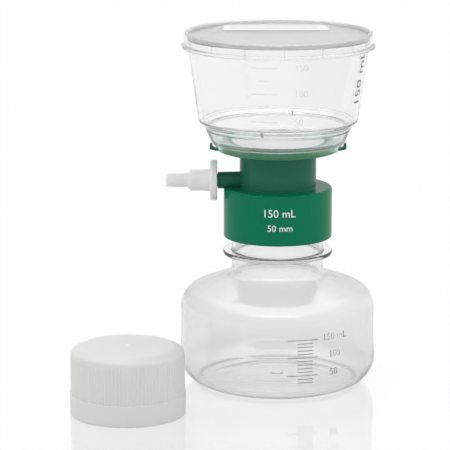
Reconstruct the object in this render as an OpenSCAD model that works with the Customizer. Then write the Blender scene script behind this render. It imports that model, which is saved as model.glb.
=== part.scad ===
// Vacuum filtration unit for 150 mL: a clear funnel over a membrane, on a green
// base that screws on a clear receiver bottle, with the funnel's lid, a stepped
// tubing adapter for the vacuum hose and the bottle's own storage cap.
// Millimetres, +Z up. The origin is on the bottle's axis at the bench, and the
// vacuum arm points towards -X.

/* [Receiver bottle] */
// Outside diameter of the straight wall
bottle_d = 91; // [80:1:110]
// How far the band at the foot stands out of the straight wall
foot_bulge = 0.6; // [0.2:0.1:1.5]
// Radius of the curve between the base and the wall
foot_r = 13.3; // [8:0.1:16]
// Height at which the straight wall starts
wall_start = 22; // [20:1:26]
// Height at which the shoulder starts to curve
wall_top = 37; // [30:0.2:70]
// Radius of the shoulder's curve
shoulder_r = 10; // [6:0.5:12]
// Slope of the shoulder above its curve, in degrees
shoulder_slope = 21; // [12:1:26]
// Wall thickness of the blown body
bottle_wall = 1.3; // [0.8:0.1:2]
// Height of the push-up in the middle of the base
push_up = 2.4; // [1:0.2:4]

/* [Bottle neck] */
// Outside radius of the neck between its threads
neck_r = 21.4; // [18:0.2:25]
// Length of the neck from the shoulder to the mouth
neck_h = 37; // [36:0.5:50]
// Wall thickness of the neck
neck_wall = 1.5; // [1:0.1:2.5]
// Height of the handling ring's middle above the shoulder
ring_up = 9.6; // [8:0.2:12]
// How far the handling ring stands out of the neck
ring_out = 4.3; // [2:0.1:6]
// Thickness of the handling ring
ring_t = 1.8; // [1:0.1:3]

/* [Thread fit] */
// Height of the neck's thread, which the collar and the cap clear
thread_h = 1; // [0.6:0.1:1.4]
// Clearance between the neck's thread and a closure's bore
thread_clear = 0.5; // [0.3:0.1:0.8]

/* [Green base] */
// Wall thickness of the threaded collar
collar_wall = 2.5; // [1.5:0.1:3.5]
// Height of the collar
collar_h = 23.7; // [18:0.1:25]
// Thickness of the collar's roof
roof_t = 2; // [1.5:0.1:3]
// Radius of the collar's upper edge
collar_edge = 1.2; // [0.4:0.1:1.8]
// Outside radius of the tube between the collar and the filter seat
tube_r = 17.9; // [14:0.1:18.5]
// Wall thickness of that tube
tube_wall = 1.6; // [1.2:0.1:2.2]
// Height of that tube above the collar
tube_h = 16.2; // [14:0.1:30]
// Radius of the flange that carries the funnel
flange_r = 28.2; // [28:0.1:28.6]
// Thickness of the flange and of the seat's floor
flange_t = 1.8; // [1.5:0.1:2.6]
// Width of the flange's dished outer zone
dish_w = 4.2; // [2:0.1:5]
// Rise of that zone's lower face towards the flange's thin edge
dish_h = 1.3; // [0.4:0.1:1.4]
// Height of the filter seat above the flange
seat_h = 3.2; // [3:0.1:5]
// Width of the seat's rim, under the membrane's edge
seat_rim = 1.3; // [1:0.1:2]
// Fall of the seat's floor towards the outlet
floor_fall = 0.6; // [0.2:0.1:1]
// Number of ribs that carry the support plate
plate_ribs = 12; // [6:1:16]
// Bore radius of the drip spout in the middle
spout_bore = 2.4; // [1.5:0.1:3]
// Wall thickness of the drip spout
spout_wall = 1.2; // [0.8:0.1:2]
// How far the drip spout reaches below the bottle's mouth
spout_dip = 4; // [2:0.5:8]

/* [Side lugs] */
// How far a lug stands out of the flange
lug_out = 3.7; // [3:0.1:5]
// Height of a lug's tip above the flange's upper face
lug_h = 2.3; // [1.5:0.1:4]
// Thickness of a lug
lug_t = 1.1; // [0.8:0.1:1.4]
// Width of a lug
lug_w = 3; // [2:0.2:5]

/* [Vacuum arm] */
// Distance of the arm's end from the bottle's axis
arm_reach = 28.2; // [27:0.2:40]
// Radius of the arm at the tube
arm_root_r = 4.1; // [3.9:0.1:4.6]
// Radius of the arm at its end
arm_tip_r = 3.9; // [3.7:0.1:4.4]
// Height of the arm's axis above the collar
arm_up = 2.7; // [2.6:0.1:8]
// Bore radius of the arm
arm_bore = 3; // [2.4:0.1:3.2]

/* [Filter] */
// Thickness of the slotted support plate
plate_t = 1; // [0.8:0.1:1.5]
// Clearance round the support plate
plate_clear = 0.3; // [0.1:0.1:0.5]
// Thickness of the membrane
membrane_t = 0.2; // [0.1:0.05:0.4]
// Width of the seat's outer edge that the membrane leaves bare
membrane_bare = 0.5; // [0.2:0.1:0.8]

/* [Funnel] */
// Outside radius of the funnel at its rim
rim_r = 42.4; // [40:0.1:52]
// Height of the funnel above the base's flange
funnel_h = 52.4; // [40:0.2:70]
// Wall thickness of the funnel
funnel_wall = 1.5; // [1:0.1:1.8]
// Outside radius under the funnel's upper wall
ledge_r = 37.2; // [36.5:0.1:39.5]
// Outside radius above the funnel's lower skirt
waist_r = 33.9; // [33:0.1:35]
// How far the lower skirt stands out of the foot ring
skirt_out = 2.9; // [2:0.1:3.6]
// Height of the ledge above the flange
ledge_z = 11.3; // [10.5:0.1:14]
// Clearance between the funnel's foot and the filter seat
foot_clear = 0.3; // [0.1:0.1:0.5]
// Wall thickness of the funnel's foot ring
foot_wall = 2.5; // [2:0.1:2.8]

/* [Lid] */
// Clearance between the lid's ribs and the funnel's rim
lid_clear = 0.3; // [0.2:0.05:0.5]
// How far the lid's inner ribs stand in
lid_rib = 0.3; // [0.2:0.05:0.5]
// Number of the lid's inner ribs
lid_ribs = 15; // [8:1:24]
// Wall thickness of the lid's skirt
lid_wall = 0.8; // [0.6:0.1:1.2]
// Thickness of the lid's panel
lid_panel = 1.2; // [0.8:0.1:2]
// Height of the bead round the panel
lid_bead = 1.3; // [0.8:0.1:2]
// Depth of the skirt below the panel
lid_skirt = 4.5; // [3.5:0.1:8]
// How far the lid's lower lip stands out of the skirt
lip_out = 1.2; // [0.8:0.1:2]
// Height of the lid's lower lip
lip_h = 1.4; // [1:0.1:2.5]

/* [Label] */
// Length of the write-on label
label_l = 50; // [30:1:56]
// Width of the label
label_w = 18; // [10:1:20]
// Thickness of the label
label_t = 0.15; // [0.1:0.05:0.3]
// Distance of the label's middle behind the lid's centre
label_back = 21.5; // [12:0.5:22]
// How far the label's right end slants
label_slant = 2; // [0:0.5:4]

/* [Neck gasket] */
// Thickness of the gasket
gasket_t = 1.8; // [1:0.1:3]
// Width of the gasket's ring inside the mouth's wall
gasket_in = 1.6; // [0.5:0.1:1.8]

/* [Tubing adapter] */
// Radius of the grip flange
grip_r = 9.5; // [7:0.1:12]
// Thickness of the grip flange at its edge
grip_t = 3.1; // [1.5:0.1:4]
// Thickness that the flange's cone adds at the step
grip_cone = 0.4; // [0.3:0.1:2]
// Radius of the wide step, for hose of 9.5 mm
wide_r = 4.9; // [4.5:0.05:6]
// Length of the wide step
wide_l = 8.9; // [6:0.1:14]
// Length of the cone between the steps
step_l = 1.6; // [0.8:0.1:3]
// Radius of the narrow step, for hose of 6.4 mm
narrow_r = 3.2; // [2.8:0.05:3.8]
// Length of the narrow step
narrow_l = 9.9; // [6:0.1:14]
// Length of the lead-in at the narrow step's end
lead_l = 1; // [0.5:0.1:2]
// Bore radius of the narrow step
nozzle_bore = 1.7; // [1.2:0.1:2.2]
// Bore radius of the shank, which holds the wool
wool_bore = 2.1; // [1.8:0.1:2.3]
// Length of the shank in the arm
shank_l = 11; // [8:0.5:11.5]
// Clearance between the shank and the arm's bore
shank_clear = 0.05; // [0.02:0.01:0.1]
// Gap between the grip flange and the arm's end
grip_gap = 0.3; // [0.2:0.05:0.5]
// Length of the wool plug
wool_l = 12; // [8:0.5:14]

/* [Storage cap] */
// Wall thickness of the cap at its knurl
cap_wall = 3.1; // [2:0.1:4]
// Height of the cap
cap_h = 31.4; // [28:0.1:34]
// Thickness of the cap's top
cap_top = 2; // [1.4:0.1:3]
// Radius of the cap's upper edge
cap_edge = 2; // [1:0.1:2.5]
// Width of the sloping shoulder round the cap's top
slope_w = 4.6; // [3:0.1:6]
// Fall of that shoulder
slope_h = 2; // [1:0.1:2.4]
// Rise of the cap's slightly domed top
cap_dome = 0.4; // [0.1:0.1:1]
// Height of the plain band at the cap's open end
band_h = 9.8; // [6:0.2:14]
// How far the plain band stands out of the knurl
band_out = 0.35; // [0.2:0.05:0.6]
// Number of knurls
knurl_n = 96; // [48:4:120]
// Depth of the knurl
knurl_t = 0.25; // [0.2:0.05:0.5]
// Gap between the cap and the bottle where they stand
cap_gap = 16.1; // [5:0.1:40]
// Direction of the cap from the bottle's axis, in degrees
cap_dir = 218.8; // [200:0.1:250]

/* [Hidden] */
$fn = 96;
// Segments in each rounded corner of an outline
corner_n = 6;
// How far a cut runs past the face it opens
cut = 1;

// Heights up the bottle
bottle_r = bottle_d / 2;
bulge_r = bottle_r + foot_bulge;
shoulder_z = wall_top + shoulder_r / tan((90 + shoulder_slope) / 2);
root_z = shoulder_z + (bottle_r - neck_r) * tan(shoulder_slope);
mouth_z = root_z + neck_h;
ring_z = root_z + ring_up;
neck_in = neck_r - neck_wall;

// Heights up the head, which stands on the gasket on the bottle's mouth
roof_z = mouth_z + gasket_t;
collar_z = roof_z + roof_t;
tube_in = tube_r - tube_wall;
closure_bore = neck_r + thread_h + thread_clear;
collar_r = closure_bore + collar_wall;
flange_z = collar_z + tube_h;
deck_z = flange_z + flange_t;
seat_z = deck_z + seat_h;
spout_z = mouth_z - spout_dip;

// Filter seat inside the funnel's foot
foot_out = flange_r + 0.5;
foot_in = foot_out - foot_wall;
seat_r = foot_in - foot_clear;
plate_z = seat_z - plate_t;
recess_r = seat_r - seat_rim;
membrane_r = seat_r - membrane_bare;

// Funnel and lid
clamp_z = seat_z + membrane_t;
rim_z = deck_z + funnel_h;
lid_in = rim_r + lid_clear + lid_rib;
lid_r = lid_in + lid_wall;
panel_z = rim_z + lid_panel;

// Adapter, along the arm's axis
arm_z = collar_z + arm_up;
grip_x = arm_reach + grip_gap;
step_x = grip_x + grip_t + grip_cone;
cone_x = step_x + wide_l;
narrow_x = cone_x + step_l;
tip_x = narrow_x + narrow_l;

// Storage cap
cap_r = closure_bore + cap_wall;
band_r = cap_r + band_out;
cap_away = bulge_r + cap_gap + band_r;

function unit(v) = v / norm(v);
function polar(r, a) = [r * cos(a), r * sin(a)];
function turn(a) = a > 180 ? a - 360 : (a < -180 ? a + 360 : a);

// Points of the arc of radius r that rounds corner b of the outline a, b, c
function corner(a, b, c, r) =
    let (u = unit(a - b))
    let (v = unit(c - b))
    let (half = acos(u * v) / 2)
    let (o = b + unit(u + v) * r / sin(half))
    let (p = b + u * r / tan(half) - o)
    let (q = b + v * r / tan(half) - o)
    let (start = atan2(p[1], p[0]))
    let (sweep = turn(atan2(q[1], q[0]) - start))
    [for (i = [0 : corner_n]) o + polar(r, start + sweep * i / corner_n)];

// Closed outline from corners [x, z, radius], where a radius of 0 stays sharp
function outline(c) =
    let (n = len(c))
    let (xy = [for (p = c) [p[0], p[1]]])
    [for (i = [0 : n - 1])
        for (p = c[i][2] > 0 ? corner(xy[(i + n - 1) % n], xy[i], xy[(i + 1) % n], c[i][2]) : [xy[i]]) p];

module revolve(corners) {
    rotate_extrude()
        polygon(outline(corners));
}

// Blown body of even wall, with its drawn neck and the handling ring
module receiver_bottle() {
    w = bottle_wall;
    drop = w * (tan(shoulder_slope) - 1 / cos(shoulder_slope));
    inner_root = shoulder_z + (bottle_r - neck_in) * tan(shoulder_slope) - w / cos(shoulder_slope);
    heel_x = bulge_r - foot_r;
    dome_x = heel_x * 0.6;
    color("gainsboro", 0.4)
        revolve([
            [0, push_up, 0],
            [dome_x, push_up, 30],
            [heel_x - 1.4, 0, 1],
            [bulge_r, 0, foot_r],
            [bulge_r, foot_r + 1.5, 1.5],
            [bottle_r, wall_start, 6],
            [bottle_r, shoulder_z, shoulder_r],
            [neck_r, root_z, 4],
            [neck_r, ring_z - ring_t / 2, 0.5],
            [neck_r + ring_out, ring_z - ring_t / 2, 0.6],
            [neck_r + ring_out, ring_z + ring_t / 2, 0.6],
            [neck_r, ring_z + ring_t / 2, 0.5],
            [neck_r, mouth_z, 0.6],
            [neck_in, mouth_z, 0.4],
            [neck_in, inner_root, 5],
            [bottle_r - w, shoulder_z + drop, shoulder_r - w],
            [bottle_r - w, wall_start, 6],
            [bulge_r - w, foot_r + 1.5, 1.5],
            [bulge_r - w, w, foot_r - w],
            [heel_x - 1.4, w, 1],
            [dome_x, push_up + w, 30],
            [0, push_up + w, 0],
        ]);
}

// Screw cap of the bottle, taken off and standing on its open end
module storage_cap() {
    edge_z = cap_h - cap_dome - slope_h;
    color("whitesmoke")
        translate(concat(polar(cap_away, cap_dir), 0))
            difference() {
                union() {
                    revolve([
                        [0, 0, 0],
                        [band_r, 0, 0.4],
                        [band_r, band_h, 0.3],
                        [cap_r - knurl_t, band_h, 0],
                        [cap_r - knurl_t, edge_z, cap_edge],
                        [cap_r - knurl_t - slope_w, edge_z + slope_h, 6],
                        [0, cap_h, 0],
                    ]);
                    knurl(edge_z - cap_edge - band_h);
                }
                translate([0, 0, -cut])
                    cylinder(r = closure_bore, h = cap_h - slope_h - cap_top + cut);
            }
}

// Ring of fine upright ribs, which ends where the cap's upper edge rounds in
module knurl(h) {
    step = 360 / knurl_n;
    tooth = [[0, 0], [0.15, 1], [0.5, 1], [0.65, 0]];
    translate([0, 0, band_h])
        linear_extrude(h)
            polygon([for (i = [0 : knurl_n - 1]) for (p = tooth)
                polar(cap_r - knurl_t * (1 - p[1]), (i + p[0]) * step)]);
}

// Flat sealing ring between the bottle's mouth and the collar's roof
module neck_gasket() {
    color("dimgray")
        translate([0, 0, mouth_z])
            difference() {
                cylinder(r = closure_bore - thread_clear, h = gasket_t);
                translate([0, 0, -cut])
                    cylinder(r = neck_in - gasket_in, h = gasket_t + 2 * cut);
            }
}

// One moulding: threaded collar, tube, vacuum arm, filter seat and drip spout
module filter_base() {
    spout_r = spout_bore + spout_wall;
    color("seagreen")
        difference() {
            union() {
                revolve([
                    [collar_r, collar_z - collar_h, 0.4],
                    [collar_r, collar_z, collar_edge],
                    [tube_r, collar_z, 0.5],
                    [tube_r, flange_z, 0.8],
                    [flange_r - dish_w, flange_z, 3],
                    [flange_r, flange_z + dish_h, 0.1],
                    [flange_r, deck_z, 0.1],
                    [seat_r, deck_z, 0],
                    [seat_r, seat_z, 0.3],
                    [recess_r, seat_z, 0.2],
                    [recess_r, deck_z, 0],
                    [spout_bore, deck_z - floor_fall, 0.5],
                    [spout_bore, spout_z, 0],
                    [spout_r, spout_z, 0.4],
                    [spout_r, flange_z - floor_fall, 1],
                    [tube_in, flange_z - floor_fall, 0.6],
                    [tube_in, roof_z, 0.4],
                    [closure_bore, roof_z, 0.4],
                    [closure_bore, collar_z - collar_h, 0.3],
                ]);
                vacuum_arm();
                seat_ribs();
                for (side = [0, 180])
                    rotate(side)
                        side_lug();
            }
            translate([-arm_reach - cut, 0, arm_z])
                rotate([0, 90, 0])
                    cylinder(r = arm_bore, h = arm_reach + cut - tube_in / 2);
        }
}

// Tapered arm that lies on the collar and opens into the tube's ring space
module vacuum_arm() {
    root_x = tube_in + 0.3;
    translate([-root_x, 0, arm_z])
        rotate([0, -90, 0])
            cylinder(r1 = arm_root_r, r2 = arm_tip_r, h = arm_reach - root_x);
}

// Radial ribs that hold the support plate off the seat's floor
module seat_ribs() {
    rib_t = 0.9;
    rib_in = spout_bore + spout_wall;
    for (i = [0 : plate_ribs - 1])
        rotate(i * 360 / plate_ribs)
            translate([rib_in, -rib_t / 2, deck_z - floor_fall - 0.2])
                cube([recess_r - rib_in + seat_rim / 2, rib_t, plate_z - deck_z + floor_fall + 0.2]);
}

// Hooked lug: a thin arm that runs out from the flange to an upright tip
module side_lug() {
    root = flange_r - 1.5;
    tip = flange_r + lug_out;
    low = deck_z - lug_t;
    bend = low + 0.7;
    translate([0, lug_w / 2, 0])
        rotate([90, 0, 0])
            linear_extrude(lug_w)
                polygon([
                    [root, low],
                    [foot_out, low],
                    [tip, bend],
                    [tip, deck_z + lug_h],
                    [tip - lug_t, deck_z + lug_h],
                    [tip - lug_t - 0.3, bend + lug_t],
                    [foot_out, deck_z],
                    [root, deck_z],
                ]);
}

// Stiff disc with two rings of radial slots, under the membrane
module support_plate() {
    r = recess_r - plate_clear;
    slot_w = 0.9;
    color("whitesmoke")
        translate([0, 0, plate_z])
            difference() {
                cylinder(r = r, h = plate_t);
                for (i = [0 : 2 * plate_ribs - 1])
                    rotate((i + 0.5) * 180 / plate_ribs)
                        for (from = [0.25, 0.62])
                            translate([r * from, -slot_w / 2, -cut])
                                cube([r * 0.3, slot_w, plate_t + 2 * cut]);
            }
}

// Thin filter disc, held between the seat's rim and the funnel's floor
module membrane() {
    color("white")
        translate([0, 0, seat_z])
            cylinder(r = membrane_r, h = membrane_t);
}

// Clear tapered cup with a ledge, a lower skirt and the foot ring
module funnel() {
    w = funnel_wall;
    skirt_z = deck_z + 4.1;
    waist_z = deck_z + ledge_z - 1.8;
    wall_z = deck_z + ledge_z + 2.2;
    clamp_r = recess_r - 0.6;
    color("gainsboro", 0.4) {
        revolve([
            [foot_in, deck_z, 0.2],
            [foot_out, deck_z, 0.3],
            [foot_out, deck_z + 0.8, 0.5],
            [foot_out + skirt_out, skirt_z, 2],
            [waist_r, waist_z, 1],
            [waist_r, deck_z + ledge_z - 0.6, 0.6],
            [ledge_r, wall_z, 1],
            [rim_r, rim_z, 0.5],
            [rim_r - w, rim_z, 0.5],
            [ledge_r - w, wall_z + 0.8, 1],
            [waist_r - w, deck_z + ledge_z + 0.5, 0.8],
            [waist_r - w, waist_z + 0.4, 1],
            [foot_out + skirt_out - w, skirt_z + 0.9, 1.5],
            [clamp_r, clamp_z + 0.6, 0.2],
            [clamp_r, clamp_z, 0.1],
            [foot_in, clamp_z, 0.2],
        ]);
        for (side = [0, 180])
            rotate(side - 103)
                ledge_rib(wall_z);
    }
}

// Short upright rib across the outside of the ledge
module ledge_rib(top) {
    rib_w = 0.8;
    low = deck_z + ledge_z - 1.2;
    translate([0, rib_w / 2, 0])
        rotate([90, 0, 0])
            linear_extrude(rib_w)
                polygon([
                    [waist_r - 0.7, low],
                    [waist_r + 0.5, low],
                    [ledge_r + 0.1, top - 1],
                    [ledge_r + 0.1, top + 0.4],
                    [ledge_r - 0.7, top + 0.4],
                ]);
}

// Thin lid: flat panel in a raised bead, skirt with inner ribs, and outer lip
module funnel_lid() {
    lip_z = rim_z - lid_skirt;
    bead_in = lid_in - 1.2;
    color("lightgray", 0.5) {
        revolve([
            [0, rim_z, 0],
            [lid_in, rim_z, 0.2],
            [lid_in, lip_z, 0.2],
            [lid_r + lip_out, lip_z, 0.3],
            [lid_r + lip_out, lip_z + lip_h, 0.4],
            [lid_r, lip_z + lip_h, 0.4],
            [lid_r, panel_z + lid_bead, 0.6],
            [bead_in, panel_z + lid_bead, 0.5],
            [bead_in, panel_z, 0.4],
            [0, panel_z, 0],
        ]);
        for (i = [0 : lid_ribs - 1])
            rotate((i + 0.15) * 360 / lid_ribs - 90)
                translate([lid_in - lid_rib, -lid_rib, lip_z + 0.6])
                    cube([lid_rib + lid_wall / 2, 2 * lid_rib, lid_skirt - 0.2]);
    }
}

// Write-on label on the back half of the lid's panel
module lid_label() {
    left = -label_l / 2 - 0.5;
    front = label_back - label_w / 2;
    color("white")
        translate([0, 0, panel_z])
            linear_extrude(label_t)
                polygon([
                    [left, front],
                    [left + label_l, front],
                    [left + label_l - label_slant, front + label_w],
                    [left, front + label_w],
                ]);
}

// Stepped hose adapter: shank in the arm, grip flange and two hose steps
module tubing_adapter() {
    shank_r = arm_bore - shank_clear;
    color("whitesmoke")
        translate([0, 0, arm_z])
            rotate([0, -90, 0])
                difference() {
                    revolve([
                        [0, grip_x - shank_l, 0],
                        [shank_r, grip_x - shank_l, 0.3],
                        [shank_r, grip_x, 0],
                        [grip_r, grip_x, 0.5],
                        [grip_r, grip_x + grip_t, 0.8],
                        [wide_r + 0.3, step_x, 0.6],
                        [wide_r, step_x + wide_l * 0.5, 0],
                        [wide_r, cone_x, 0.2],
                        [narrow_r, narrow_x, 0],
                        [narrow_r, tip_x - lead_l, 0],
                        [narrow_r - 0.4, tip_x, 0.2],
                        [0, tip_x, 0],
                    ]);
                    translate([0, 0, grip_x - shank_l - cut])
                        cylinder(r = wool_bore, h = cone_x - grip_x + shank_l + cut);
                    cylinder(r = nozzle_bore, h = tip_x + cut);
                }
}

// Loose wool that fills the shank's bore and keeps dust and spray out
module wool_plug() {
    start = grip_x - shank_l + 2;
    color("ivory")
        translate([-start, 0, arm_z])
            rotate([0, -90, 0])
                cylinder(r = wool_bore - shank_clear, h = wool_l);
}

receiver_bottle();
storage_cap();
neck_gasket();
filter_base();
support_plate();
membrane();
funnel();
funnel_lid();
lid_label();
tubing_adapter();
wool_plug();
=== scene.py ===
import math

import bmesh
import bpy
from mathutils import Matrix, Vector


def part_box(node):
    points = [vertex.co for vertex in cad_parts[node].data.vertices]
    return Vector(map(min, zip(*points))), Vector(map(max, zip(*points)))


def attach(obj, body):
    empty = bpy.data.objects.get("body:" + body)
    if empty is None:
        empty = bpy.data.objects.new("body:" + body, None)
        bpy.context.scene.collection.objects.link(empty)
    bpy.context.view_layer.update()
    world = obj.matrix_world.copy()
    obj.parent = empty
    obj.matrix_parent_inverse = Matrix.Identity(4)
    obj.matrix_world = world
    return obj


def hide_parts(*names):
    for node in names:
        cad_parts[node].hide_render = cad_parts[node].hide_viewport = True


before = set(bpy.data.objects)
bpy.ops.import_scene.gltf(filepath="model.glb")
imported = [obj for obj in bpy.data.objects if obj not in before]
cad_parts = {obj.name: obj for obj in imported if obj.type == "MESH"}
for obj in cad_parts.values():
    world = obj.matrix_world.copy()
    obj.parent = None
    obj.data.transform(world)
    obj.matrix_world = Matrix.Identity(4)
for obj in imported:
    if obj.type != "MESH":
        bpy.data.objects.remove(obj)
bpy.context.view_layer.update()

# ---------------------------------------------------------------------------
# Receiver bottle
# Clear polyester, blown in one piece with its drawn neck, so the wall is even
# and faintly waved. The base is pushed up round a gate mark, a thin handling
# ring stands out of the neck, and one start of thread runs above it.

mm = 0.001


def turned(corners, steps=192):
    """Turns an outline of (radius, height, rounding) corners, in mm, about Z.

    A point close to each end of a straight keeps the shading of the roundings out of it.
    """
    bm = bmesh.new()
    verts = [bm.verts.new((r * mm, 0, z * mm)) for r, z, _ in corners]
    for a, b in zip(verts, verts[1:] + verts[:1]):
        if a.co.x or b.co.x:
            bm.edges.new((a, b))
    for vert, (_, _, rounding) in zip(verts, corners):
        if rounding:
            along = [(e.other_vert(vert).co - vert.co).normalized() for e in vert.link_edges]
            half = along[0].angle(along[1]) / 2
            bmesh.ops.bevel(
                bm, geom=[vert], offset=rounding * mm / math.tan(half), offset_type="OFFSET",
                segments=4 if rounding < 1 else 8 if rounding < 5 else 16,
                profile=0.5, affect="VERTICES", material=-1)
    for edge in [e for e in bm.edges if e.calc_length() > 0.8 * mm]:
        a, b = edge.verts
        inset = (b.co - a.co).normalized() * 0.12 * mm
        near = bm.verts.new(a.co + inset)
        far = bm.verts.new(b.co - inset)
        bm.edges.remove(edge)
        for pair in ((a, near), (near, far), (far, b)):
            bm.edges.new(pair)
    bmesh.ops.spin(bm, geom=bm.verts[:] + bm.edges[:], cent=(0, 0, 0), axis=(0, 0, 1),
                   angle=math.tau, steps=steps, use_merge=True)
    bmesh.ops.remove_doubles(bm, verts=bm.verts[:], dist=1e-7)
    bmesh.ops.recalc_face_normals(bm, faces=bm.faces[:])
    return bm


thread_pitch = 4
thread_turns = 2.25
thread_width = 1.3


def thread(root_r, crest, low, at=(0, 0)):
    """A right-hand ridge, in mm, that winds up from low and fades in at both ends.

    A crest below zero makes it stand inwards, for a closure.
    """
    bm = bmesh.new()
    per_turn = 96
    count = int(thread_turns * per_turn)
    fade = per_turn // 6
    last = None
    for i in range(count + 1):
        angle = math.tau * i / per_turn
        z = low + thread_pitch * i / per_turn
        grown = max(0.04, min(1, i / fade, (count - i) / fade))
        ring = []
        for share, rise in ((-0.5, 0), (-0.22, 1), (0.22, 1), (0.5, 0)):
            r = root_r + crest * rise * grown
            ring.append(bm.verts.new(((at[0] + r * math.cos(angle)) * mm,
                                      (at[1] + r * math.sin(angle)) * mm,
                                      (z + share * thread_width) * mm)))
        if last:
            for a in range(4):
                b = (a + 1) % 4
                bm.faces.new((last[a], last[b], ring[b], ring[a]))
        else:
            bm.faces.new(ring)
        last = ring
    bm.faces.new(last)
    bmesh.ops.recalc_face_normals(bm, faces=bm.faces[:])
    return bm


def add_to(bm, other):
    """Joins another bmesh to bm as loose parts."""
    mesh = bpy.data.meshes.new("joined")
    other.to_mesh(mesh)
    bm.from_mesh(mesh)
    bpy.data.meshes.remove(mesh)
    other.free()


def flat_bar(bm, left, right, low, high, thick):
    """A thin bar, in mm: its face in the XY plane, standing up along Z."""
    made = bmesh.ops.create_cube(bm, size=1)["verts"]
    bmesh.ops.scale(bm, vec=(right - left, high - low, thick), verts=made)
    bmesh.ops.translate(bm, vec=((left + right) / 2, (low + high) / 2, thick / 2), verts=made)


def flat_words(bm, words, left, low, height, thick, upright=False):
    """Plain sans lettering of that cap height, in mm, from its lower left corner."""
    curve = bpy.data.curves.new("words", "FONT")
    curve.body = words
    curve.size = height / 0.7
    curve.extrude = thick / 2
    curve.resolution_u = 3
    text = bpy.data.objects.new("words", curve)
    bpy.context.collection.objects.link(text)
    depsgraph = bpy.context.evaluated_depsgraph_get()
    mesh = bpy.data.meshes.new_from_object(text.evaluated_get(depsgraph))
    bpy.data.objects.remove(text)
    bpy.data.curves.remove(curve)
    letters = bmesh.new()
    letters.from_mesh(mesh)
    bpy.data.meshes.remove(mesh)
    for vert in letters.verts:
        x, y, z = vert.co
        if upright:
            x, y = -y, x
        vert.co = (x + left, y + low, z + thick / 2)
    bmesh.ops.remove_doubles(letters, verts=letters.verts[:], dist=1e-4)
    add_to(bm, letters)


def wrapped(bm, radius_at, angle):
    """Bends flat bars and words, in mm, round the Z axis with their middle at that angle.

    They are cut at every millimetre, so that they follow the curve.
    """
    proud = 0.02
    for cut in range(-40, 41):
        bmesh.ops.bisect_plane(bm, geom=bm.verts[:] + bm.edges[:] + bm.faces[:],
                               plane_co=(cut, 0, 0), plane_no=(1, 0, 0))
    for vert in bm.verts:
        across, z, out = vert.co
        r = radius_at(z)
        turn = math.radians(angle) + across / r
        r += out + proud
        vert.co = (r * math.cos(turn) * mm, r * math.sin(turn) * mm, z * mm)
    bmesh.ops.recalc_face_normals(bm, faces=bm.faces[:])
    return bm


def make(name, bm, materials, body):
    """A finished piece at the origin, smooth but for its sharp edges."""
    for face in bm.faces:
        face.smooth = True
    mesh = bpy.data.meshes.new(name)
    bm.to_mesh(mesh)
    bm.free()
    mesh.set_sharp_from_angle(angle=math.radians(32))
    for material in materials:
        mesh.materials.append(material)
    obj = bpy.data.objects.new(name, mesh)
    bpy.context.collection.objects.link(obj)
    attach(obj, body)
    return obj


class Wire:
    """An output of a shader tree. Arithmetic on it adds Math nodes."""

    def __init__(self, tree, socket=None):
        self.tree = tree
        self.socket = socket

    def add(self, kind, sockets=None, out=0, stops=None, **settings):
        """Adds a node of that kind: its settings first, then its sockets."""
        node = self.tree.nodes.new("ShaderNode" + kind)
        for key, value in settings.items():
            setattr(node, key, value)
        for i, (place, colour) in enumerate(stops or []):
            ramp = node.color_ramp.elements
            stop = ramp[i] if i < len(ramp) else ramp.new(place)
            stop.position = place
            stop.color = colour
        for key, value in (sockets or {}).items():
            if isinstance(value, Wire):
                self.tree.links.new(value.socket, node.inputs[key])
            else:
                node.inputs[key].default_value = value
        return Wire(self.tree, node.outputs[out] if len(node.outputs) else None)

    def other(self, out):
        """Another output of the same node."""
        return Wire(self.tree, self.socket.node.outputs[out])

    def maths(self, operation, a, b=0.0):
        """A Math node on two values or wires."""
        return self.add("Math", {0: a, 1: b}, operation=operation)

    def __add__(self, other):
        return self.maths("ADD", self, other)

    __radd__ = __add__

    def __sub__(self, other):
        return self.maths("SUBTRACT", self, other)

    def __rsub__(self, other):
        return self.maths("SUBTRACT", other, self)

    def __mul__(self, other):
        return self.maths("MULTIPLY", self, other)

    __rmul__ = __mul__


def srgb(r, g, b):
    """A colour of 0 to 255 as Blender's linear RGBA."""
    return tuple((c / 255 / 12.92) if c < 11 else ((c / 255 + 0.055) / 1.055) ** 2.4
                 for c in (r, g, b)) + (1.0,)


def start(name):
    """A new material, and a wire into its empty tree."""
    mat = bpy.data.materials.new(name)
    mat.use_nodes = True
    mat.node_tree.nodes.clear()
    return mat, Wire(mat.node_tree)


def noise(wire, scale, detail=2.0, stretch=(1, 1, 1)):
    """Noise from 0 to 1 on the piece's own coordinates, in metres."""
    place = wire.add("TexCoord", out="Object")
    place = wire.add("VectorMath", {0: place, 1: stretch}, operation="MULTIPLY")
    return wire.add("TexNoise", {"Vector": place, "Scale": scale, "Detail": detail})


def blend(wire, factor, a, b):
    """Goes from colour a to colour b as the factor goes from 0 to 1."""
    return wire.add("Mix", {"Factor": factor, "A": a, "B": b}, out="Result", data_type="RGBA")


def out_and_up(wire):
    """The distance from the Z axis, and the height, both in mm."""
    place = wire.add("TexCoord", out="Object")
    flat = wire.add("VectorMath", {0: place, 1: (1, 1, 0)}, operation="MULTIPLY")
    out = wire.add("VectorMath", {0: flat}, out="Value", operation="LENGTH")
    return out * 1000, wire.add("SeparateXYZ", {"Vector": place}, out="Z") * 1000


def ramp_between(wire, value, low, high):
    """Goes smoothly from 0 to 1 while the value goes from low to high."""
    return wire.add("MapRange", {"Value": value, "From Min": low, "From Max": high,
                                 "To Min": 0.0, "To Max": 1.0}, interpolation_type="SMOOTHSTEP")


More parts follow.
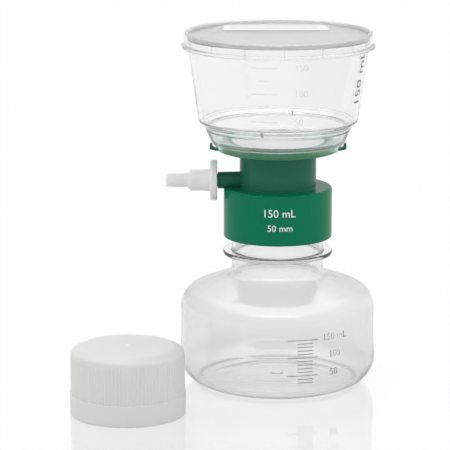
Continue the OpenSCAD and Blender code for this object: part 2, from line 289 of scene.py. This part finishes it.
def clear_plastic(name, light, dark, wave, density, ior, tint=None, extra_rough=None):
    """Clear moulded plastic: greyer where it is thick, with faint waves and handling haze."""
    mat, w = start(name)
    cloud = noise(w, 35)
    smear = noise(w, 240, 4, (1, 1, 0.3))
    waves = w.add("Bump", {"Height": noise(w, 55, 1, (1, 1, 0.5)), "Strength": wave,
                           "Distance": 0.001})
    colour = blend(w, cloud, light, dark)
    rubbed_in = smear * 0.03
    shader = w.add("BsdfPrincipled", {
        "Base Color": tint(w, colour) if tint else colour,
        "Roughness": rubbed_in + extra_rough(w) if extra_rough else rubbed_in, "IOR": ior,
        "Transmission Weight": 1.0, "Normal": waves})
    body = w.add("VolumeAbsorption", {"Color": (0.5, 0.51, 0.51, 1), "Density": density})
    w.add("OutputMaterial", {"Surface": shader, "Volume": body})
    return mat


low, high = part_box("receiver_bottle")
bulge = 0.6
bulge_r = high.x / mm
bulge_top = 22
mouth_z = high.z / mm
bottle_r = bulge_r - bulge
bottle_wall = 1.3
gate_z = 2.1
push_up = 2.4
foot_r = 13.3
side_low = foot_r + 1.5
shoulder_r = 10
slope = math.radians(21)
neck_r = 21.4
neck_in = neck_r - 1.5
root_z = mouth_z - 37
shoulder_z = root_z - (bottle_r - neck_r) * math.tan(slope)
inner_root = shoulder_z + (bottle_r - neck_in) * math.tan(slope) - bottle_wall / math.cos(slope)
inner_shoulder = shoulder_z + bottle_wall * (math.tan(slope) - 1 / math.cos(slope))
ring_low = root_z + 8.7
ring_top = root_z + 10.5
ring_r = neck_r + 4.3
heel = bulge_r - foot_r
rest_r = heel - 1.4
bottle = turned([
    (0, gate_z, 0), (2, gate_z, 0.6), (3, push_up, 1), (heel * 0.6, push_up, 30), (rest_r, 0, 1),
    (bulge_r, 0, foot_r), (bulge_r, side_low, 1.5), (bottle_r, bulge_top, 6),
    (bottle_r, shoulder_z, shoulder_r), (neck_r, root_z, 4),
    (neck_r, ring_low, 0.5), (ring_r, ring_low, 0.6),
    (ring_r, ring_top, 0.6), (neck_r, ring_top, 0.5),
    (neck_r, mouth_z, 0.6), (neck_in, mouth_z, 0.4), (neck_in, inner_root, 5),
    (bottle_r - bottle_wall, inner_shoulder, shoulder_r - bottle_wall),
    (bottle_r - bottle_wall, bulge_top, 6), (bulge_r - bottle_wall, side_low, 1.5),
    (bulge_r - bottle_wall, bottle_wall, foot_r - bottle_wall),
    (rest_r, bottle_wall, 1), (heel * 0.6, push_up + bottle_wall, 30),
    (0, push_up + bottle_wall, 0),
])
thread_low = mouth_z - 14.5
add_to(bottle, thread(neck_r + 0.02, 0.95, thread_low))


def bottle_painted_shade(wire, colour):
    """Paints shade on the bottle: a grey line round the foot, a faint grey band on the heel, and
    the slightest grey on the side above it.
    """
    out, up = out_and_up(wire)
    side = wire.add("ValToRGB", {"Fac": up * (1 / 60)}, stops=[
        (0.0, srgb(150, 152, 152)), (0.014, srgb(165, 167, 167)), (0.028, srgb(249, 249, 249)),
        (0.15, srgb(240, 241, 241)), (0.26, srgb(250, 250, 250)), (0.6, srgb(250, 250, 250)),
        (0.7, srgb(255, 255, 255))])
    past_base = ramp_between(wire, out, 35.5, 37.5)
    return blend(wire, past_base, colour, side)


def shoulder_haze(wire):
    """Makes the shoulder a little less glossy than the wall, from its edge to the neck's root."""
    up = out_and_up(wire)[1]
    over_side = ramp_between(wire, up, 40.0, 44.0)
    under_neck = ramp_between(wire, up, 55.0, 51.5)
    return over_side * under_neck * 0.13


# The foot's grey line and the heel's grey band are painted shade.
bottle_clear = clear_plastic("bottle_polyester", srgb(255, 255, 255), srgb(252, 252, 252),
                             0.12, 100, 1.47, tint=bottle_painted_shade, extra_rough=shoulder_haze)
bottle_piece = make("bottle_wall", bottle, [bottle_clear], "bottle")
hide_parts("receiver_bottle")

# The graduations and their numbers are raised on the wall, one line for each
# 10 mL, and the mould leaves them slightly frosted.

frosted, w = start("moulded_marks")
grit = noise(w, 900, 2)
w.add("OutputMaterial", {"Surface": w.add("BsdfPrincipled", {
    "Base Color": blend(w, grit, srgb(206, 208, 208), srgb(190, 192, 192)),
    "Roughness": 0.3 + grit * 0.1, "IOR": 1.57, "Transmission Weight": 0.75})})

soft_marks, w = start("polished_marks")
grit = noise(w, 700, 2)
w.add("OutputMaterial", {"Surface": w.add("BsdfPrincipled", {
    "Base Color": blend(w, grit, srgb(248, 249, 249), srgb(242, 243, 243)),
    "Roughness": 0.12 + grit * 0.1, "IOR": 1.57, "Transmission Weight": 0.95})})

marks = bmesh.new()
line_z = 30.5
line_step = 1.66
for line in range(13):
    z = line_z - line * line_step
    long = line % 5 == 0
    flat_bar(marks, 3.8 if long else 8.5, 18.4 if long else 15.8, z - 0.2, z + 0.2, 0.3)
for words, line, left in (("150 mL", 0, 20.5), ("100", 5, 24), ("50", 10, 24.5)):
    flat_words(marks, words, left, line_z - line * line_step - 0.8, 3.1, 0.25)


def bottle_at(z):
    """The radius of the bottle's side at that height, in mm."""
    if z > bulge_top:
        return bottle_r
    return bulge_r - max(0, z - side_low) / (bulge_top - side_low) * bulge


make("bottle_marks", wrapped(marks, bottle_at, -90), [frosted], "bottle")

# ---------------------------------------------------------------------------
# Storage cap
# White polyethylene screw cap, moulded with a fine knurl over a plain band,
# a gate mark on its slightly domed top, and the thread inside.

cap_low, cap_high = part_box("storage_cap")
cap_x = (cap_low.x + cap_high.x) / 2 / mm
cap_y = (cap_low.y + cap_high.y) / 2 / mm
cap_top = cap_high.z / mm
closure_bore = neck_r + 1.5


def satin_plastic(name, light, dark, rough, scale, grain=0.06, glow=0.0, reach=0.003):
    """Moulded opaque plastic: cloudy colour, fine grain, rubbed patches and soft depth."""
    mat, w = start(name)
    mottle = noise(w, scale, 3)
    fine = noise(w, scale * 9, 3)
    w.add("OutputMaterial", {"Surface": w.add("BsdfPrincipled", {
        "Base Color": blend(w, mottle, light, dark),
        "Roughness": rough + mottle * 0.06 + fine * 0.04,
        "Normal": w.add("Bump", {"Height": fine, "Strength": grain, "Distance": 0.0003}),
        "Subsurface Weight": glow, "Subsurface Radius": (reach, reach, reach),
        "Subsurface Scale": 1.0})})
    return mat


def thin_ring(r, z, thick, at=(0, 0)):
    """A fine round bead of that thickness, in mm, lying at that radius and height."""
    bm = bmesh.new()
    made = bmesh.ops.create_circle(bm, segments=10, radius=thick / 2 * mm)["verts"]
    bmesh.ops.rotate(bm, verts=made, cent=(0, 0, 0), matrix=Matrix.Rotation(math.pi / 2, 3, "X"))
    bmesh.ops.translate(bm, verts=made, vec=(r * mm, 0, z * mm))
    edges = list({e for v in made for e in v.link_edges})
    bmesh.ops.spin(bm, geom=made + edges, cent=(0, 0, 0), axis=(0, 0, 1), angle=math.tau,
                   steps=128, use_merge=True)
    bmesh.ops.remove_doubles(bm, verts=bm.verts[:], dist=1e-7)
    bmesh.ops.translate(bm, verts=bm.verts[:], vec=(at[0] * mm, at[1] * mm, 0))
    bmesh.ops.recalc_face_normals(bm, faces=bm.faces[:])
    return bm


def finish(node, material):
    """Gives a piece of the frame its material."""
    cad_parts[node].data.materials.clear()
    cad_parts[node].data.materials.append(material)


cap_white = satin_plastic("cap_polyethylene", srgb(228, 228, 227), srgb(223, 223, 222),
                          0.36, 90, 0.05, 0.3, 0.004)
finish("storage_cap", cap_white)
closure_thread_r = closure_bore - 0.02
closure_crest = -0.9
cap_inside = thread(closure_thread_r, closure_crest, 8, at=(cap_x, cap_y))
make("cap_thread", cap_inside, [cap_white], "bottle")

# A fine bright bead along the band's upper edge is a painted highlight, and the gate
# leaves a small pip on the top, drawn in the same bright white.

highlight_and_pip = satin_plastic("cap_highlight_and_pip", srgb(250, 250, 250), srgb(244, 244, 244),
                       0.3, 90, 0.02, 0.2, 0.003)
band_z = 9.8
band_r = closure_bore + 3.45
# This bead is a painted highlight.
edge = thin_ring(band_r - 0.16, band_z - 0.12, 0.34, (cap_x, cap_y))
pip_rise = 0.12
pip = turned([(0, -0.3, 0), (0.9, -0.3, 0), (0.9, pip_rise, 0.1), (0, pip_rise, 0)], 24)
bmesh.ops.translate(pip, verts=pip.verts[:],
                    vec=(cap_x * mm, cap_y * mm, (cap_top - pip_rise) * mm))
add_to(edge, pip)
make("cap_edge", edge, [highlight_and_pip], "bottle")

# ---------------------------------------------------------------------------
# Green base
# Opaque green styrene, one moulding from a polished tool, with a fine orange peel
# and faint flow streaks. Above the collar the green is drawn greyer, as painted shade
# and reflection from the funnel over it, and the seat, which shows through the
# funnel's foot, is drawn paler, as painted light.

base_low, base_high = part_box("filter_base")
collar_low = base_low.z / mm
collar_top = collar_low + 23.7
collar_r = closure_bore + 2.5
green_mat, w = start("base_styrene")
streak = noise(w, 60, 3, (1, 1, 0.4))
peel = noise(w, 700, 2)
out, up = out_and_up(w)
base_top = base_high.z / mm
seat_foot = base_top - 3.4
# The seat is drawn pale mint: painted light where it shows through the funnel's foot.
seat_painted_light = ramp_between(w, up, seat_foot, seat_foot + 0.15) * ramp_between(w, out, 28.5, 28.25)
# Above the collar the green turns greyer: painted shade and reflection.
shade_above_collar = ramp_between(w, up, collar_top + 0.1, collar_top + 0.3)
green = blend(w, shade_above_collar, blend(w, streak, srgb(4, 116, 80), srgb(8, 124, 88)),
              blend(w, streak, srgb(40, 110, 86), srgb(48, 118, 94)))
w.add("OutputMaterial", {"Surface": w.add("BsdfPrincipled", {
    "Base Color": blend(w, seat_painted_light, green, srgb(84, 206, 164)),
    "Roughness": 0.24 + streak * 0.06, "IOR": 1.5, "Specular IOR Level": 0.1,
    "Normal": w.add("Bump", {"Height": peel, "Strength": 0.04, "Distance": 0.0003})})})
finish("filter_base", green_mat)
collar_inside = thread(closure_thread_r, closure_crest, thread_low + thread_pitch / 2)
make("collar_thread", collar_inside, [green_mat], "head")

# A fine bead in a lighter green stands for the light that the flange's edge catches.

bright_edge, w = start("base_bright_edge")
streak = noise(w, 60, 3, (1, 1, 0.4))
w.add("OutputMaterial", {"Surface": w.add("BsdfPrincipled", {
    "Base Color": blend(w, streak, srgb(62, 160, 124), srgb(74, 168, 134)),
    "Roughness": 0.2 + streak * 0.06})})
flange_r = closure_bore + 5.3
edges = thin_ring(flange_r - 0.14, base_top - 3.42, 0.44)
make("flange_edge", edges, [bright_edge], "head")

# The unit's volume and the size of its membrane are printed on the collar.

white_ink, w = start("white_ink")
wear = noise(w, 1500, 2)
w.add("OutputMaterial", {"Surface": w.add("BsdfPrincipled", {
    "Base Color": blend(w, wear, srgb(255, 255, 255), srgb(250, 252, 251)),
    "Roughness": 0.45 + wear * 0.1})})
print_marks = bmesh.new()
flat_words(print_marks, "150 mL", -9.5, 84, 3.6, 0.03)
flat_words(print_marks, "50 mm", -7.2, 77.3, 3, 0.03)
make("collar_print", wrapped(print_marks, lambda z: collar_r, -86), [white_ink],
     "head")

# ---------------------------------------------------------------------------
# Funnel
# Clear styrene, moulded in one piece. Its foot is drawn as a thin wall over a
# hollow and sinks a little into the green deck and seat, as a weld does. Two small
# ribs cross its ledge, and its graduations are raised like the bottle's.

low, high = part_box("funnel")
rim_z = high.z / mm
deck_z = low.z / mm
clamp_z = base_top + 0.2
rim_r = 42.4
ledge_r = 37.2
waist_r = 33.9
wall = 1.5
foot_out = 28.7
skirt_r = foot_out + 2.9
foot_in = foot_out - 2.5
hollow_in = foot_out - 1.3
clamp_r = foot_in - 2.2
skirt_z = deck_z + 4.1
ledge_z = deck_z + 11.3
waist_z = ledge_z - 1.8
wall_z = ledge_z + 2.2
weld = 0.05
weld_in = foot_in - 0.3 - weld
web_z = clamp_z + 0.35
ledge_in = ledge_r - wall
waist_in = waist_r - wall
funnel = turned([
    (hollow_in, deck_z - weld, 0), (foot_out, deck_z - weld, 0.3), (foot_out, deck_z + 0.8, 0.5),
    (skirt_r, skirt_z, 2), (waist_r, waist_z, 1), (waist_r, ledge_z - 0.6, 0.6),
    (ledge_r, wall_z, 1), (rim_r, rim_z, 0.5), (rim_r - wall, rim_z, 0.5),
    (ledge_in, wall_z + 0.8, 1), (waist_in, ledge_z + 0.5, 0.8),
    (waist_in, waist_z + 0.4, 1), (skirt_r - wall, skirt_z + 0.9, 1.5),
    (clamp_r, clamp_z + 0.6, 0.2), (clamp_r, clamp_z - weld, 0), (weld_in, clamp_z - weld, 0),
    (weld_in + 0.3, web_z, 0.1), (foot_out + 0.6, web_z, 0.2), (hollow_in, deck_z + 1.5, 0.4),
])


def blade(points, thick, angle):
    """A thin upright rib from (radius, height) points, in mm, at that angle."""
    bm = bmesh.new()
    near = [bm.verts.new((r * mm, -thick / 2 * mm, z * mm)) for r, z in points]
    face = bm.faces.new(near)
    extruded = bmesh.ops.extrude_face_region(bm, geom=[face])["geom"]
    bmesh.ops.translate(bm, vec=(0, thick * mm, 0),
                        verts=[v for v in extruded if isinstance(v, bmesh.types.BMVert)])
    bmesh.ops.rotate(bm, verts=bm.verts[:], cent=(0, 0, 0),
                     matrix=Matrix.Rotation(math.radians(angle), 3, "Z"))
    bmesh.ops.recalc_face_normals(bm, faces=bm.faces[:])
    return bm


def foot_green_light(wire, colour):
    """Tints the foot green: painted light from the green deck it stands on."""
    up = out_and_up(wire)[1]
    return blend(wire, ramp_between(wire, up, deck_z + 3.2, deck_z + 2.4), colour,
                 srgb(128, 212, 176))


# The foot's green tint is painted light from the green deck.
funnel_clear = clear_plastic("funnel_styrene", srgb(252, 252, 252), srgb(249, 250, 250),
                             0.04, 12, 1.59, tint=foot_green_light)
funnel_piece = make("funnel_wall", funnel, [funnel_clear], "head")
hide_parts("funnel")

ribs = bmesh.new()
rib_in = waist_r + 0.03
add_to(ribs, blade([(rib_in, ledge_z - 0.4), (waist_r + 0.5, ledge_z - 0.4),
                    (ledge_r + 0.1, wall_z - 1), (ledge_r + 0.1, wall_z),
                    (ledge_r - 0.3, wall_z)], 0.7, -103))
add_to(ribs, blade([(rib_in, waist_z), (waist_r + 0.4, waist_z), (waist_r + 0.6, ledge_z),
                    (rib_in, ledge_z)], 0.6, 77))
make("funnel_ribs", ribs, [frosted], "head")


def funnel_at(z):
    """The radius of the funnel's side at that height, in mm."""
    return ledge_r + (rim_r - ledge_r) * (z - wall_z) / (rim_z - wall_z)


marks = bmesh.new()
for words, z in (("150", 155.9), ("100", 143.7), ("50", 130.6)):
    flat_bar(marks, -13.5, -1, z - 0.2, z + 0.2, 0.25)
    flat_bar(marks, -10, -5.5, z - 6.1, z - 5.8, 0.25)
    flat_words(marks, words, 6.5, z - 1.5, 3, 0.2)
make("funnel_marks", wrapped(marks, funnel_at, -90), [soft_marks], "head")

# Its rated volume is printed up the right side, in grey ink.

ink, w = start("print_ink")
wear = noise(w, 1500, 2)
w.add("OutputMaterial", {"Surface": w.add("BsdfPrincipled", {
    "Base Color": blend(w, wear, srgb(104, 108, 108), srgb(128, 132, 132)),
    "Roughness": 0.5 + wear * 0.1})})
words = bmesh.new()
flat_words(words, "150 mL", 0, 134, 6, 0.03, upright=True)
make("funnel_print", wrapped(words, funnel_at, -18), [ink], "head")

# Fine rings run round the inside of the ledge and of the waist under it.

rings = bmesh.new()
for r, z in ((ledge_in - 0.35, wall_z + 0.35), (ledge_in - 1.5, wall_z - 0.35),
             (waist_in - 0.05, ledge_z - 0.6), (waist_in - 0.05, waist_z + 0.6)):
    add_to(rings, thin_ring(r, z, 0.3))
make("ledge_rings", rings, [soft_marks], "head")

# ---------------------------------------------------------------------------
# Lid
# Thin clear styrene. Its panel is textured in the tool and so is hazy, and crush
# ribs inside the skirt grip the funnel's rim. The bead round the panel is drawn
# hollow underneath, with a matt inside, which gives the band its soft grey.

low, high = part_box("funnel_lid")
top_z = high.z / mm
lip_z = low.z / mm
panel_z = top_z - 1.3
lid_in = rim_r + 0.6
lid_r = lid_in + 0.8
lip_r = lid_r + 1.2
lip_top = lip_z + 1.4
panel_r = lid_in - 1.2
hollow_r = lid_in - 0.6
hollow_top = top_z - 0.6
lid = turned([
    (0, rim_z, 0), (hollow_r, rim_z, 0.1), (hollow_r, hollow_top, 0.2),
    (lid_in, hollow_top, 0.2), (lid_in, lip_z, 0.2), (lip_r, lip_z, 0.3),
    (lip_r, lip_top, 0.4), (lid_r, lip_top, 0.4), (lid_r, top_z, 0.6),
    (panel_r, top_z, 0.5), (panel_r, panel_z, 0.4), (0, panel_z, 0),
])
lid_clear = clear_plastic("lid_styrene", srgb(254, 254, 254), srgb(251, 252, 252), 0.04, 2, 1.56)
haze, w = start("lid_panel_haze")
cloud = noise(w, 40, 3)
grit = noise(w, 1400, 2)
w.add("OutputMaterial", {"Surface": w.add("BsdfPrincipled", {
    "Base Color": blend(w, cloud, srgb(255, 255, 255), srgb(252, 252, 252)),
    "Roughness": 0.34 + cloud * 0.06, "IOR": 1.5, "Transmission Weight": 0.9,
    "Normal": w.add("Bump", {"Height": grit, "Strength": 0.15, "Distance": 0.0002})})})
bead_matt, w = start("lid_bead_matt")
grit = noise(w, 900, 2)
w.add("OutputMaterial", {"Surface": w.add("BsdfPrincipled", {
    "Base Color": blend(w, grit, srgb(248, 249, 249), srgb(240, 241, 241)),
    "Roughness": 0.55 + grit * 0.15, "IOR": 1.4, "Transmission Weight": 0.45})})
for face in lid.faces:
    middle = face.calc_center_median() / mm
    out = math.hypot(middle.x, middle.y)
    in_hollow = hollow_r - 0.05 < out < lid_in + 0.01
    if in_hollow and rim_z + 0.05 < middle.z < hollow_top + 0.3:
        face.material_index = 2
    elif middle.z > panel_z - 0.05 and out < panel_r + 0.1:
        face.material_index = 1
lid_piece = make("lid_wall", lid, [lid_clear, haze, bead_matt], "lid")
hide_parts("funnel_lid")

crush = bmesh.new()
rib_low = lip_z + 0.6
rib_top = rim_z - 0.2
for i in range(15):
    add_to(crush, blade([(lid_in - 0.3, rib_low), (lid_in - 0.02, rib_low),
                         (lid_in - 0.02, rib_top), (lid_in - 0.3, rib_top)],
                        0.35, (i + 0.1) * 24 - 90))
make("lid_ribs", crush, [soft_marks], "lid")

# Fine beads run round the lip's lower edge and the foot of the skirt.

edges = thin_ring(lip_r - 0.2, lip_z + 0.2, 0.38)
add_to(edges, thin_ring(lid_r - 0.1, lip_top + 0.15, 0.26))
make("lid_edges", edges, [soft_marks], "lid")

# ---------------------------------------------------------------------------
# Write-on label
# White film with a matt coating that takes a pen, stuck flat on the lid's panel.
# Three ruled lines are printed on it in the funnel's grey ink.

label_low, label_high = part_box("lid_label")
film, w = start("label_film")
tooth = noise(w, 800, 3)
w.add("OutputMaterial", {"Surface": w.add("BsdfPrincipled", {
    "Base Color": blend(w, tooth, srgb(246, 246, 246), srgb(242, 242, 242)),
    "Roughness": 0.55 + tooth * 0.1,
    "Normal": w.add("Bump", {"Height": tooth, "Strength": 0.05, "Distance": 0.0002})})})
finish("lid_label", film)
ruled = bmesh.new()
rule_left = label_low.x / mm + 3
for line in (1, 2, 3):
    y = label_low.y / mm + line * 4.5
    flat_bar(ruled, rule_left, rule_left + 41, y, y + 0.25, 0.02)
bmesh.ops.scale(ruled, vec=(mm, mm, mm), verts=ruled.verts[:])
bmesh.ops.translate(ruled, vec=(0, 0, label_high.z + 0.01 * mm), verts=ruled.verts[:])
make("label_rules", ruled, [ink], "lid")

# ---------------------------------------------------------------------------
# Filter: the membrane, its slotted support plate, and the neck gasket
# The membrane is a matt cast film with an even, very fine pore texture. The green
# rings round its rim stand for a weld to the seat, and its faint glow makes up for
# light lost in the lid and the funnel. Plate and gasket are plain mouldings.

membrane, w = start("membrane_film")
pores = noise(w, 2200, 4)
out = out_and_up(w)[0]
weld_lines = w.maths("SINE", out * 5.2) * 0.5 + 0.5
welded = blend(w, weld_lines, srgb(40, 116, 90), srgb(150, 192, 176))
white = blend(w, pores, srgb(252, 252, 251), srgb(248, 248, 247))
w.add("OutputMaterial", {"Surface": w.add("BsdfPrincipled", {
    "Base Color": blend(w, ramp_between(w, out, 21.4, 22.0), white, welded),
    "Roughness": 0.7, "Emission Color": (1, 1, 1, 1), "Emission Strength": 0.1,
    "Normal": w.add("Bump", {"Height": pores, "Strength": 0.1, "Distance": 0.0001})})})
finish("membrane", membrane)
finish("support_plate", satin_plastic(
    "plate_polypropylene", srgb(236, 236, 234), srgb(230, 230, 228), 0.45, 120))
finish("neck_gasket", satin_plastic(
    "gasket_silicone", srgb(219, 219, 216), srgb(209, 209, 206), 0.5, 120, 0.1, 0.2))

# ---------------------------------------------------------------------------
# Tubing adapter and its wool
# Natural polyethylene, a little translucent, moulded with soft edges at every
# step. The wool pushed inside it is white loose fibre.

finish("tubing_adapter", satin_plastic(
    "adapter_polyethylene", srgb(239, 239, 238), srgb(234, 234, 233), 0.36, 90, 0.05, 0.25, 0.004))
wool, w = start("wool_fibre")
fibre = noise(w, 500, 5, (0.2, 1, 1))
w.add("OutputMaterial", {"Surface": w.add("BsdfPrincipled", {
    "Base Color": blend(w, fibre, srgb(243, 242, 238), srgb(222, 220, 214)), "Roughness": 0.95,
    "Normal": w.add("Bump", {"Height": fibre, "Strength": 0.6, "Distance": 0.0005})})})
finish("wool_plug", wool)

# ---------------------------------------------------------------------------
# Floor, light and camera
# A white sheet with a faint sheen, under broad soft light. The room is darker in
# front and at the far left, and reflections see a large soft box overhead.

floor_mesh = bpy.data.meshes.new("floor_sheet")
bm = bmesh.new()
bmesh.ops.create_grid(bm, x_segments=1, y_segments=1, size=6.0)
bmesh.ops.translate(bm, vec=(0, 0, -0.00005), verts=bm.verts[:])
bm.to_mesh(floor_mesh)
bm.free()
floor = bpy.data.objects.new("floor_sheet", floor_mesh)
bpy.context.collection.objects.link(floor)
floor_mat, w = start("floor_white")
camera_ray = w.add("LightPath", out="Is Camera Ray")
glossy_ray = camera_ray.other("Is Glossy Ray")
through = glossy_ray * 0.2 + camera_ray.other("Is Transmission Ray") * 0.65
paper = w.add("BsdfDiffuse", {"Color": srgb(244, 244, 244)})
glow = w.add("Emission", {"Color": (1, 1, 1, 1), "Strength": 1.0})
shine = w.add("BsdfGlossy", {"Color": (1, 1, 1, 1), "Roughness": 0.1})
sheet = w.add("MixShader", {"Fac": camera_ray * 0.9 + through, 1: paper, 2: glow})
sheet = w.add("MixShader", {"Fac": camera_ray * 0.42, 1: sheet, 2: shine})
w.add("OutputMaterial", {"Surface": sheet})
floor_mesh.materials.append(floor_mat)

world = bpy.data.worlds.new("studio")
bpy.context.scene.world = world
world.use_nodes = True
world.node_tree.nodes.clear()
w = Wire(world.node_tree)
way = w.add("TexCoord", out="Generated")
x_way = w.add("SeparateXYZ", {"Vector": way}, out="X")
y_way = x_way.other("Y")
z_way = x_way.other("Z")
behind = ramp_between(w, y_way, -0.95, -0.1)
above = ramp_between(w, z_way, 0.3, 0.8)
bright = w.maths("MAXIMUM", behind, above)
camera_ray = w.add("LightPath", out="Is Camera Ray")
glossy_ray = camera_ray.other("Is Glossy Ray")
front_level = (0.4 + camera_ray.other("Is Transmission Ray") * 0.55) - glossy_ray * 0.05
level = front_level + bright * (1.0 - front_level)
left = ramp_between(w, x_way, -0.25, -0.8)
level = level * (1 - left * (glossy_ray * 0.45 + camera_ray.other("Is Diffuse Ray") * 0.06))
overhead = ramp_between(w, z_way, 0.55, 0.85)
level = level + overhead * glossy_ray * 1.4
level = w.maths("MAXIMUM", level, camera_ray)
w.add("OutputWorld", {"Surface": w.add("Background", {"Color": (1, 1, 1, 1), "Strength": level})})

softbox_light = bpy.data.lights.new("front_softbox", "AREA")
softbox_light.shape = "RECTANGLE"
softbox_light.size = 1.5
softbox_light.size_y = 0.4
softbox_light.energy = 2.4
softbox = bpy.data.objects.new("front_softbox", softbox_light)
bpy.context.collection.objects.link(softbox)
softbox.location = (-0.1, -1.0, 1.1)
aim = Vector((0, 0, 0.08)) - softbox.location
softbox.rotation_euler = aim.to_track_quat("-Z", "Y").to_euler()

camera_data = bpy.data.cameras.new("camera")
camera = bpy.data.objects.new("camera", camera_data)
bpy.context.collection.objects.link(camera)
camera.location = (-0.0248, -1.230, 0.341)
camera_dip = 12.2
camera.rotation_euler = (math.radians(90 - camera_dip), 0, 0)
camera_data.lens = 213.9
camera_data.clip_end = 50
bpy.context.scene.camera = camera
bpy.context.scene.view_settings.view_transform = "Standard"
bpy.context.scene.cycles.max_bounces = 24
bpy.context.scene.cycles.transmission_bounces = 24
bpy.context.scene.cycles.glossy_bounces = 12
